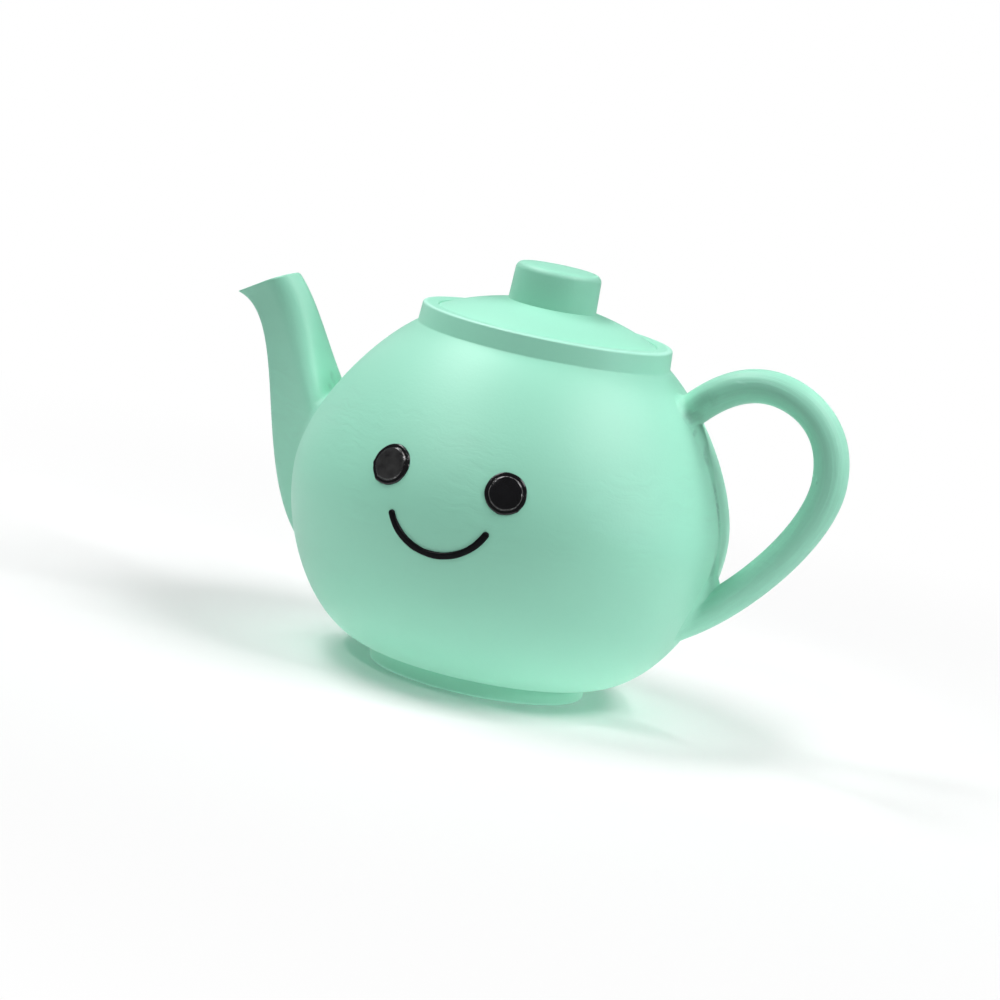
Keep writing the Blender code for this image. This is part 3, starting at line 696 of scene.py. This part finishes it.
class TEAPOT_OT_lid(bpy.types.Operator):
    """Turn the lid with its hollow knob"""

    bl_idname = "teapot.lid"
    bl_label = "Lid"

    STEPS = 144
    ROWS = 14
    CROWN = (0.30, 0.45, 0.60, 0.80, 1.0)
    SEAT_CLEARANCE = 0.00005

    def execute(self, context):
        pot = context.scene.teapot_pot
        seat = LID_LOW.z
        radius = pot.collar_radius - pot.collar_taper - pot.collar_rim - self.SEAT_CLEARANCE
        crest = seat + pot.lid_edge + pot.lid_rise
        ball = (radius**2 + pot.lid_rise**2) / (2 * pot.lid_rise)

        def dome(reach, depth=0.0):
            return (reach, crest - ball + math.sqrt((ball - depth) ** 2 - reach**2))

        knob_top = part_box("lid")[1].z - pot.knob_crown
        knob_edge = pot.knob_radius - pot.knob_taper
        bore = pot.knob_radius - pot.wall
        inner = radius - pot.wall
        shares = [index / self.ROWS for index in range(self.ROWS + 1)]
        outline = [(radius, seat)]
        outline += [dome(radius + (pot.knob_radius - radius) * share) for share in shares]
        outline += [(knob_edge, knob_top)]
        for share in self.CROWN:
            rest = 1 - share
            outline.append((knob_edge * rest, knob_top + pot.knob_crown * (1 - rest**2)))
        outline += [(0.0, knob_top - pot.wall), (bore, knob_top - pot.wall)]
        outline += [dome(bore + (inner - bore) * share, pot.wall) for share in shares[::4]]
        outline += [(inner, seat), (radius, seat)]
        bm = bmesh.new()
        turned(bm, outline, self.STEPS)
        round_ring(bm, knob_edge, knob_top, pot.knob_edge, 6)
        piece("lid_dome", bm, latex_finish(context.scene), "lid", "lid", squeezed=False)
        return {"FINISHED"}


def fillet_stops(radius, count):
    """Pairs (distance off the pot, flare) along a fillet, from just under the skin to its top."""
    turns = [math.pi / 2 * index / count for index in range(count + 1)]
    stops = [(radius * (1 - math.cos(turn)), radius * (1 - math.sin(turn))) for turn in turns]
    stops[0] = (FILLET_START, stops[0][1])
    return stops


def share_at(line, side, wanted, inside, outside):
    """The share of a line at which it lies a wanted distance off the pot."""
    for _ in range(40):
        middle = (inside + outside) / 2
        if side.distance(line(middle)[0]) < wanted:
            inside = middle
        else:
            outside = middle
    return outside


def rooted_rings(lines, side, fillet, inside, outside, stops=7):
    """Rings that flare on to the pot, and each line's share where the flare ends."""
    rings = []
    starts = [share_at(line, side, fillet, inside, outside) for line in lines]
    for distance, flare in fillet_stops(fillet, stops):
        ring = []
        for line in lines:
            point, outward = line(share_at(line, side, distance, inside, outside))
            ring.append(settle(point + outward * flare, side, distance))
        rings.append(ring)
    return rings, starts


def sunk(ring, side):
    """A ring moved under the pot's skin."""
    return [point - side.normal(point) * ROOT_DEPTH for point in ring]


class TEAPOT_OT_spout(bpy.types.Operator):
    """Grow the spout from the pot to its mouth"""

    bl_idname = "teapot.spout"
    bl_label = "Spout"

    RINGS = 56
    NOSE = 7
    RIDGE = 6
    FLAT = 12

    def corner(self, before, corner, after, radius, count):
        """Points round a corner that is rounded to a radius."""
        corner = Vector(corner)
        back = (Vector(before) - corner).normalized()
        ahead = (Vector(after) - corner).normalized()
        turn = back.angle(ahead)
        reach = radius / math.tan(turn / 2)
        pull = reach - 4 / 3 * math.tan((math.pi - turn) / 4) * radius
        arc = (corner + back * reach, corner + back * pull, corner + ahead * pull, corner + ahead * reach)
        return bezier(arc, count)

    def section(self, limbs, share):
        """The outline at a share of the length: points (x, y, z) and their outward directions."""
        front = bezier_at(SPOUT_FRONT, share)
        run = bezier_at(SPOUT_REAR, share) - front
        spread = limbs.spout_root_width - limbs.spout_mouth_width
        width = limbs.spout_mouth_width + spread * (1 - share) ** 2
        half_angle = math.atan2(width, run.length)
        nose_round = limbs.spout_root_round + (limbs.spout_beak_round - limbs.spout_root_round) * share
        start = (-nose_round * (1 / math.sin(half_angle) - 1), 0.0)
        near = (run.length, -width)
        far = (run.length, width)
        bulge = (run.length + limbs.spout_back_bulge, 0.0)
        nose = self.corner(far, start, near, nose_round, self.NOSE)
        near_ridge = self.corner(start, near, bulge, limbs.spout_ridge_round, self.RIDGE)
        far_ridge = self.corner(bulge, far, start, limbs.spout_ridge_round, self.RIDGE)
        outline = list(nose)
        outline += self.between(nose[-1], near_ridge[0])
        outline += near_ridge
        outline += self.between(near_ridge[-1], far_ridge[0], limbs.spout_back_bulge)
        outline += far_ridge
        outline += self.between(far_ridge[-1], nose[0])
        along = run.normalized()
        points = []
        for index, spot in enumerate(outline):
            ahead = outline[(index + 1) % len(outline)] - outline[index - 1]
            out = Vector((-ahead.y, ahead.x)).normalized()
            if out.dot(spot - Vector((run.length * 0.6, 0.0))) < 0:
                out = -out
            place = front + along * spot.x
            lean = along * out.x
            points.append((AXIS + Vector((place.x, spot.y, place.y)), Vector((lean.x, out.y, lean.y))))
        return points

    def between(self, start, end, swell=0.0):
        """Points between two others, swollen along the run where asked."""
        spots = []
        for index in range(1, self.FLAT):
            share = index / self.FLAT
            spot = start.lerp(end, share)
            spots.append(spot + Vector((swell * 2 * share * (1 - share), 0.0)))
        return spots

    def execute(self, context):
        limbs = context.scene.teapot_limbs
        side = PotSide(context.scene.teapot_pot)
        known = {}

        def section(share):
            key = round(share, 7)
            if key not in known:
                known[key] = self.section(limbs, share)
            return known[key]

        count = len(section(1.0))
        lines = [lambda share, index=index: section(share)[index] for index in range(count)]
        rings, starts = rooted_rings(lines, side, limbs.spout_fillet, 0.0, 1.0)
        for step in range(1, self.RINGS + 1):
            share = step / self.RINGS
            rings.append([line(start + (1 - start) * share)[0] for line, start in zip(lines, starts)])
        bm = bmesh.new()
        last = skin_over(bm, [sunk(rings[0], side), *rings])
        bmesh.ops.recalc_face_normals(bm, faces=bm.faces)
        rounded(bm, last, limbs.mouth_edge, 3)
        piece("spout_skin", bm, latex_finish(context.scene), "pot", "spout")
        return {"FINISHED"}


class TEAPOT_OT_handle(bpy.types.Operator):
    """Grow the handle's bar from the pot and back, with the web between its roots"""

    bl_idname = "teapot.handle"
    bl_label = "Handle"

    SIDES = 48
    SQUARENESS = 1.9
    SWELL = 0.0004
    SWELL_AT = 0.65
    SWELL_REACH = 0.12
    TOP_ROOT = (0.0, 0.3)
    LOW_ROOT = (1.0, 0.75)
    RINGS = 90
    WEB_RINGS = 64
    WEB_POINTS = 15
    WEB_LAP = 0.0001
    WEB_UNDERSIDE = -0.0010
    NOTED = 240

    def bar(self, share):
        """The bar's middle (x, z) at a share of its length, and its outward normal."""
        place = min(share * len(HANDLE_PATH), len(HANDLE_PATH) - 1e-6)
        stretch = int(place)
        curve = HANDLE_PATH[stretch]
        here = place - stretch
        step = 1e-4
        run = bezier_at(curve, min(1.0, here + step)) - bezier_at(curve, max(0.0, here - step))
        return bezier_at(curve, here), Vector((-run.y, run.x)).normalized()

    def line(self, radius, turn, share):
        """A point of the bar's skin at a turn about its middle, and its outward direction."""
        middle, out = self.bar(share)
        rise, reach = math.cos(turn), math.sin(turn)
        swell = math.exp(-(((share - self.SWELL_AT) / self.SWELL_REACH) ** 2))
        radius += self.SWELL * swell * max(0.0, -rise)
        outward = Vector((out.x * rise, reach, out.y * rise))
        square = (abs(rise) ** self.SQUARENESS + abs(reach) ** self.SQUARENESS) ** (-1 / self.SQUARENESS)
        return AXIS + Vector((middle.x, 0.0, middle.y)) + outward * (radius * square), outward

    def web_ring(self, side, height, tall, half):
        """A section of the web across the pot: over its crown, then back under the skin."""
        ring = []
        for index in range(self.WEB_POINTS):
            share = 2 * index / (self.WEB_POINTS - 1) - 1
            lift = tall * (0.5 + 0.5 * math.cos(math.pi * share)) - self.WEB_LAP
            ring.append(self.on_back(side, half * share, lift, height))
        ring += [self.on_back(side, half * share, self.WEB_UNDERSIDE, height) for share in (0.8, -0.8)]
        return ring

    def on_back(self, side, across, lift, height):
        """A point on the pot's handle side."""
        return side.lay(across, 0.0, lift, math.pi / 2, height)

    def execute(self, context):
        limbs = context.scene.teapot_limbs
        side = PotSide(context.scene.teapot_pot)
        turns = [2 * math.pi * index / self.SIDES for index in range(self.SIDES)]
        radius = limbs.handle_radius
        lines = [lambda share, turn=turn: self.line(radius, turn, share) for turn in turns]
        top, starts = rooted_rings(lines, side, limbs.handle_fillet, *self.TOP_ROOT)
        low, ends = rooted_rings(lines, side, limbs.handle_fillet, *self.LOW_ROOT)
        rings = list(top)
        for step in range(1, self.RINGS):
            share = step / self.RINGS
            rings.append([line(s + (e - s) * share)[0] for line, s, e in zip(lines, starts, ends)])
        rings += low[::-1]
        bm = bmesh.new()
        skin_over(bm, [sunk(rings[0], side), *rings, sunk(rings[-1], side)])
        self.note_bar(bm)
        web = []
        for index in range(self.WEB_RINGS + 1):
            height = WEB[0][0] + (WEB[-1][0] - WEB[0][0]) * index / self.WEB_RINGS
            tall, half = self.web_at(height)
            web.append(self.web_ring(side, height, tall, half))
        skin_over(bm, web)
        piece("handle_bar", bm, latex_finish(context.scene), "pot", "handle")
        return {"FINISHED"}

    def note_bar(self, bm):
        """Notes on each vertex of the bar how far out from its middle it is, for the streaks along it."""
        on_bar = bm.verts.layers.float.new("bar")
        outwards = bm.verts.layers.float.new("outwards")
        middles = [self.bar(step / self.NOTED) for step in range(self.NOTED + 1)]
        for vert in bm.verts:
            spot = Vector((vert.co.x - AXIS.x, vert.co.z))
            middle, out = min(middles, key=lambda pair: (pair[0] - spot).length_squared)
            vert[on_bar] = 1.0
            vert[outwards] = (spot - middle).dot(out)

    def web_at(self, height):
        """The web's raise and half width at a height."""
        index = 0
        while index < len(WEB) - 2 and WEB[index + 1][0] < height:
            index += 1
        low, high = WEB[index], WEB[index + 1]
        share = (height - low[0]) / (high[0] - low[0])
        share = share * share * (3 - 2 * share)
        return [a + (b - a) * share for a, b in zip(low[1:], high[1:])]


def near(turn, place, width):
    """1 at a place in degrees round an eye, falling to 0 over a width in radians."""
    away = math.remainder(turn - math.radians(place), 2 * math.pi)
    return math.exp(-((away / width) ** 2))


class TEAPOT_OT_face(bpy.types.Operator):
    """Lay the painted eyes and the smile on the pot"""

    bl_idname = "teapot.face"
    bl_label = "Face"

    EYE_STEPS = 96
    EYE_STRETCH = 1.03
    # Across the eye from its middle: share of the radius and share of the raise
    EYE_OUTLINE = (
        *((0.0, 0.92), (0.35, 0.91), (0.60, 0.88), (0.72, 0.84), (0.75, 0.79), (0.77, 0.68), (0.785, 0.52)),
        *((0.80, 0.42), (0.82, 0.41), (0.86, 0.44), (0.91, 0.45), (0.95, 0.41), (0.98, 0.29), (1.0, 0.06)),
    )
    EYE_UNDERSIDE = -0.0002
    GROOVE = (0.76, 0.79)
    DRIP_WIDTH = 0.10
    MOUTH_RINGS = 72
    MOUTH_POINTS = 11
    MOUTH_LAP = 0.0001
    MOUTH_UNDERSIDE = -0.0003

    def eye(self, context, name, azimuth, phase, drips, shine, reflection_share):
        """A raised eye with a groove round its middle and a slightly uneven rim, a painted highlight on the
        groove and a painted grey reflection on its middle where asked.
        """
        face = context.scene.teapot_face
        side = PotSide(context.scene.teapot_pot)
        outline = [(reach, share * face.eye_raise) for reach, share in self.EYE_OUTLINE]
        outline += [(reach, self.EYE_UNDERSIDE) for reach in (0.995, 0.0)]
        bm = bmesh.new()
        outline = [(reach * face.eye_radius, lift) for reach, lift in outline]
        turned(bm, outline, self.EYE_STEPS, Vector())
        ring = bm.verts.layers.float.new("ring")
        dust = bm.verts.layers.float.new("dust")
        for vert in bm.verts:
            turn = math.atan2(vert.co.y, vert.co.x)
            reach = math.hypot(vert.co.x, vert.co.y) / face.eye_radius
            # Painted highlight on the groove ring, strongest at the places listed in shine
            if self.GROOVE[0] < reach < self.GROOVE[1]:
                vert[ring] = sum(share * near(turn, place, width) for place, share, width in shine)
            # Painted grey reflection on the eye's middle, on the left eye only
            elif reach < self.GROOVE[0]:
                vert[dust] = reflection_share
            wobble = 1.0 + 0.006 * math.sin(2 * turn + phase) + 0.005 * math.sin(5 * turn - phase)
            wobble += 0.004 * math.sin(9 * turn + 2 * phase)
            wobble += sum(swell * near(turn, place, self.DRIP_WIDTH) for place, swell in drips)
            vert.co.x *= wobble
            vert.co.y *= wobble * self.EYE_STRETCH
            vert.co = side.lay(*vert.co, azimuth, face.eye_height)
        paint = paint_finish("eye paint", context.scene.teapot_finishes.paint, 0.5)
        piece(f"{name}_paint", bm, paint, "pot", name, sharp=60.0)

    def mouth(self, context):
        """The smile: a rounded stroke along an arc."""
        face = context.scene.teapot_face
        side = PotSide(context.scene.teapot_pot)
        half = face.mouth_width / 2
        cap = half / face.mouth_radius
        rings = []
        for index in range(self.MOUTH_RINGS + 1):
            slide = -math.cos(math.pi * index / self.MOUTH_RINGS)
            angle = slide * (face.mouth_angle + cap)
            turn = angle + face.mouth_lean
            past = max(0.0, abs(angle) - face.mouth_angle) / cap
            spread = half * math.sqrt(max(0.01, 1 - past**2))
            spread *= 1.0 + 0.03 * math.sin(7 * angle) + 0.02 * math.sin(15 * angle + 1.0)
            section = []
            for step in range(self.MOUTH_POINTS):
                share = 2 * step / (self.MOUTH_POINTS - 1) - 1
                lift = face.mouth_raise * (spread / half) * (1 - share**6) ** 0.7 - self.MOUTH_LAP
                section.append((share, lift))
            section += [(share, self.MOUTH_UNDERSIDE) for share in (0.6, -0.6)]
            ring = []
            for share, lift in section:
                reach = face.mouth_radius + spread * share
                spot = (reach * math.sin(turn), -reach * math.cos(turn))
                ring.append(side.lay(*spot, lift, face.mouth_azimuth, face.mouth_height))
            rings.append(ring)
        bm = bmesh.new()
        skin_over(bm, rings)
        paint = paint_finish("mouth paint", context.scene.teapot_finishes.paint, 0.08)
        piece("mouth_paint", bm, paint, "pot", "mouth", sharp=60.0)

    def execute(self, context):
        azimuth = context.scene.teapot_face.eye_azimuth
        self.eye(
            context,
            "eye_left",
            -azimuth,
            0.7,
            drips=((188.0, 0.04), (238.0, 0.035)),
            shine=((90.0, 0.05, 9.0), (50.0, 0.8, 0.22), (222.0, 0.7, 0.30), (320.0, 0.5, 0.16)),
            # Painted grey reflection on this eye's middle
            reflection_share=0.8,
        )
        self.eye(
            context,
            "eye_right",
            azimuth,
            2.1,
            drips=((316.0, 0.03),),
            shine=((90.0, 0.30, 9.0), (95.0, 0.5, 0.50), (165.0, 0.3, 0.30)),
            reflection_share=0.0,
        )
        self.mouth(context)
        return {"FINISHED"}


class TEAPOT_OT_squeaker(bpy.types.Operator):
    """Finish the squeaker's pieces in the base"""

    bl_idname = "teapot.squeaker"
    bl_label = "Squeaker"

    def execute(self, context):
        finishes = context.scene.teapot_finishes
        plastic = plastic_finish("squeaker plastic", finishes.plastic, 0.42)
        film = plastic_finish("reed film", finishes.film, 0.30)
        for name in ("squeaker_housing", "squeaker_cap", "reed_seat", "reed_wedge", "reed"):
            mesh = frame["nodes"][name].data
            mesh.materials.clear()
            mesh.materials.append(film if name == "reed" else plastic)
        return {"FINISHED"}


class TEAPOT_OT_stage(bpy.types.Operator):
    """Set the floor, the lamps, the surround and the camera"""

    bl_idname = "teapot.stage"
    bl_label = "Stage"

    TARGET = AXIS + Vector((0.0, 0.0, 0.0453))
    SHIFT = (-0.0162, -0.0201)
    WHITE = (1.0, 1.0, 1.0, 1.0)
    # Soft lamps aimed at the toy: name, place, power setting, share of it, width and depth
    LAMPS = (
        ("top lamp, handle side", (0.60, -0.01, 0.88), "top_power", 1.02, 0.7, 0.28),
        ("top lamp, spout side", (-0.5, -0.01, 0.95), "top_power", 1.16, 0.7, 0.28),
        ("back lamp, handle side", (0.8, 0.6, 0.3), "back_power", 0.5, 0.7, 0.7),
        ("back lamp, spout side", (-0.8, 0.6, 0.3), "back_power", 1.0, 0.7, 0.7),
    )
    # Soft-edged beams for a small part of the toy: name, place, aim, power setting and width in degrees
    BEAMS = (
        ("front beam", (-0.30, -0.62, 0.68), (-0.018, -0.012, 0.049), "front_power", 5.6),
        ("side beam", (0.64, -0.05, 0.27), (0.071, 0.0, 0.054), "side_power", 6.4),
        ("handle beam", (0.34, 0.12, 0.75), (0.067, 0.0, 0.066), "handle_power", 4.2),
    )
    GLOW_PLACE = (0.008, -0.005, 0.00005)
    GLOW_WIDTH = 0.10

    def floor(self, colour):
        """A pale table that keeps the shadow, runs out to white and throws light back only near the toy."""
        surface = Surface(bpy.data.materials.new("floor"))
        here = surface.place()
        clouds = surface.noise(here, 3.0, 2.0)
        pale = surface.mix(clouds, shade(colour, 0.99), shade(colour, 1.01))
        reach = surface.length(here)
        seen = surface.node("ShaderNodeLightPath", output="Is Camera Ray")
        dim = (1.0 - seen) * surface.ramp(reach, 0.14, 0.26)
        tone = surface.mix(dim, pale, shade(colour, 0.25))
        finish = surface.finish(Base_Color=tone, Roughness=0.9)
        white = surface.node("ShaderNodeEmission", {}, {"Color": self.WHITE})
        paint = Socket(surface, surface.shader.outputs[0])
        share = seen * surface.ramp(reach, 0.10, 0.34)
        surface.show(surface.node("ShaderNodeMixShader", {}, {0: share, 1: paint, 2: white}))
        bm = bmesh.new()
        bmesh.ops.create_grid(bm, x_segments=8, y_segments=8, size=4.0)
        meshed("floor", bm, finish)

    def hang(self, name, data, place, aim):
        """Places a lamp and turns it to its aim."""
        obj = placed(name, data)
        obj.location = place
        obj.rotation_euler = (Vector(aim) - Vector(place)).to_track_quat("-Z", "Y").to_euler()

    def lamps(self, stage):
        for name, place, setting, share, width, depth in self.LAMPS:
            data = bpy.data.lights.new(name, "AREA")
            data.energy = getattr(stage, setting) * share
            data.shape = "RECTANGLE"
            data.size = width
            data.size_y = depth
            self.hang(name, data, place, self.TARGET)

    def beams(self, stage):
        for name, place, aim, setting, width in self.BEAMS:
            data = bpy.data.lights.new(name, "SPOT")
            data.energy = getattr(stage, setting)
            data.spot_size = math.radians(width)
            data.spot_blend = 0.8
            data.shadow_soft_size = 0.05
            self.hang(name, data, place, aim)

    def glow(self, power):
        """The pale ground's light on the underside, which the floor's own bounce leaves too dark."""
        data = bpy.data.lights.new("glow", "AREA")
        data.energy = power
        data.shape = "DISK"
        data.size = self.GLOW_WIDTH
        obj = placed("glow", data)
        obj.location = self.GLOW_PLACE
        obj.rotation_euler = (math.pi, 0.0, 0.0)
        obj.visible_camera = False

    def surround(self, scene, stage):
        """A weak light from all round, and white for the camera."""
        sky = Surface(bpy.data.worlds.new("surround"))
        soft = sky.node("ShaderNodeBackground", {}, {"Color": self.WHITE, "Strength": stage.fill})
        plain = sky.node("ShaderNodeBackground", {}, {"Color": self.WHITE, "Strength": 1.0})
        seen = sky.node("ShaderNodeLightPath", output="Is Camera Ray")
        sky.show(sky.node("ShaderNodeMixShader", {}, {0: seen, 1: soft, 2: plain}))
        scene.world = sky.owner

    def camera(self, scene, stage):
        """The camera, tilted about its view as the photograph is."""
        azimuth, elevation, roll = stage.azimuth, stage.elevation, stage.roll
        level = math.cos(elevation)
        back = Vector((math.sin(azimuth) * level, -math.cos(azimuth) * level, math.sin(elevation)))
        right = Vector((math.cos(azimuth), math.sin(azimuth), 0.0))
        up = back.cross(right)
        tilted_right = right * math.cos(roll) + up * math.sin(roll)
        tilted_up = up * math.cos(roll) - right * math.sin(roll)
        data = bpy.data.cameras.new("camera")
        data.lens = stage.lens
        data.sensor_width = 36.0
        data.shift_x, data.shift_y = self.SHIFT
        data.clip_start = 0.01
        data.clip_end = 50.0
        obj = placed("camera", data)
        turn = Matrix((tilted_right, tilted_up, back)).transposed().to_4x4()
        obj.matrix_world = Matrix.Translation(self.TARGET + back * stage.distance) @ turn
        scene.camera = obj

    def execute(self, context):
        scene = context.scene
        stage = scene.teapot_stage
        scene.view_settings.view_transform = "Standard"
        self.floor(stage.floor)
        self.lamps(stage)
        self.beams(stage)
        self.glow(stage.glow_power)
        self.surround(scene, stage)
        self.camera(scene, stage)
        return {"FINISHED"}


class TEAPOT_PT_pieces(bpy.types.Panel):
    """The toy's pieces, sizes and finishes"""

    bl_label = "Teapot"
    bl_space_type = "VIEW_3D"
    bl_region_type = "UI"
    bl_category = "Teapot"

    def draw(self, context):
        layout = self.layout
        for operator in OPERATORS:
            layout.operator(operator.bl_idname)
        for name in SETTINGS:
            box = layout.box()
            settings = getattr(context.scene, name)
            for key in settings.bl_rna.properties.keys():
                if key not in ("rna_type", "name"):
                    box.prop(settings, key)


OPERATORS = (
    TEAPOT_OT_pot,
    TEAPOT_OT_lid,
    TEAPOT_OT_spout,
    TEAPOT_OT_handle,
    TEAPOT_OT_face,
    TEAPOT_OT_squeaker,
    TEAPOT_OT_stage,
)
SETTINGS = {
    "teapot_pot": PotSizes,
    "teapot_limbs": LimbSizes,
    "teapot_face": FaceSizes,
    "teapot_finishes": Finishes,
    "teapot_stage": StageSettings,
}


def register():
    for cls in (*SETTINGS.values(), *OPERATORS, TEAPOT_PT_pieces):
        bpy.utils.register_class(cls)
    for name, cls in SETTINGS.items():
        setattr(bpy.types.Scene, name, bpy.props.PointerProperty(type=cls))


def unregister():
    for name in SETTINGS:
        delattr(bpy.types.Scene, name)
    for cls in reversed((*SETTINGS.values(), *OPERATORS, TEAPOT_PT_pieces)):
        bpy.utils.unregister_class(cls)


def main():
    register()
    bpy.ops.teapot.pot()
    bpy.ops.teapot.lid()
    bpy.ops.teapot.spout()
    bpy.ops.teapot.handle()
    bpy.ops.teapot.face()
    bpy.ops.teapot.squeaker()
    bpy.ops.teapot.stage()


if __name__ == "__main__":
    main()
